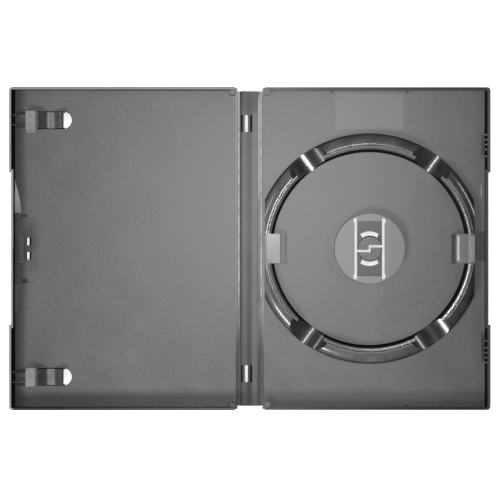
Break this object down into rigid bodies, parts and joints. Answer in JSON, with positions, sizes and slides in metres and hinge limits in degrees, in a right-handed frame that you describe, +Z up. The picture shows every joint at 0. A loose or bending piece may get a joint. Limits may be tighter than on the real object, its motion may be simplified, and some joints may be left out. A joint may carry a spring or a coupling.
{
  "type": "dvd case",
  "caption": "Open disc keep case, tray and cover on a folding spine, with a snap hub, a disc ring, booklet clips and a clear outer sleeve.",
  "frame": {"origin": "on the surface the open case lies on, under the middle of the spine", "axes": "+X from the spine to the tray's outer edge, +Y to the head of the case, +Z up out of the open case"},
  "size_m": [0.2832, 0.19, 0.011],
  "materials": {
    "moulded_tray": "fine spark-eroded texture on black polypropylene, polished on the disc ring",
    "moulded_spine": "fine spark-eroded texture on black polypropylene",
    "moulded_cover": "fine spark-eroded texture on black polypropylene",
    "hinge_web": "thin flexed web, slightly stress-whitened",
    "hub_tongue": "smooth black polypropylene",
    "clip_leaf": "smooth black polypropylene",
    "clear_sleeve": "clear film, welded along the edges"
  },
  "bodies": {
    "tray": {"tray": "moulded_tray", "tray_sleeve": "clear_sleeve"},
    "spine": {"spine": "moulded_spine", "spine_sleeve": "clear_sleeve", "back_hinge_web": "hinge_web", "front_hinge_web": "hinge_web"},
    "cover": {"cover": "moulded_cover", "cover_sleeve": "clear_sleeve"},
    "upper_button": {"hub_tongue_upper": "hub_tongue"},
    "lower_button": {"hub_tongue_lower": "hub_tongue"},
    "upper_clip": {"clip_upper": "clip_leaf"},
    "lower_clip": {"clip_lower": "clip_leaf"}
  },
  "joints": [
    {"name": "back_hinge", "type": "hinge", "parent": "tray", "child": "spine", "pos_m": [0.0066, 0, 0.00045], "axis": [0, 1, 0], "range_deg": [0, 90], "deforming": ["back_hinge_web"]},
    {"name": "front_hinge", "type": "hinge", "parent": "spine", "child": "cover", "pos_m": [-0.0066, 0, 0.00045], "axis": [0, 1, 0], "range_deg": [0, 90], "deforming": ["front_hinge_web"]},
    {"name": "upper_button_press", "type": "hinge", "parent": "tray", "child": "upper_button", "pos_m": [0.0706, 0.0162, 0.0032], "axis": [1, 0, 0], "range_deg": [0, 6], "stiffness_Nm_per_rad": 0.55},
    {"name": "lower_button_press", "type": "hinge", "parent": "tray", "child": "lower_button", "pos_m": [0.0706, -0.0162, 0.0032], "axis": [-1, 0, 0], "range_deg": [0, 6], "stiffness_Nm_per_rad": 0.55},
    {"name": "upper_clip_lift", "type": "hinge", "parent": "cover", "child": "upper_clip", "pos_m": [-0.1265, 0.0759, 0.0046], "axis": [0, -1, 0], "range_deg": [0, 12], "stiffness_Nm_per_rad": 0.2},
    {"name": "lower_clip_lift", "type": "hinge", "parent": "cover", "child": "lower_clip", "pos_m": [-0.1265, -0.0759, 0.0046], "axis": [0, -1, 0], "range_deg": [0, 12], "stiffness_Nm_per_rad": 0.2}
  ]
}
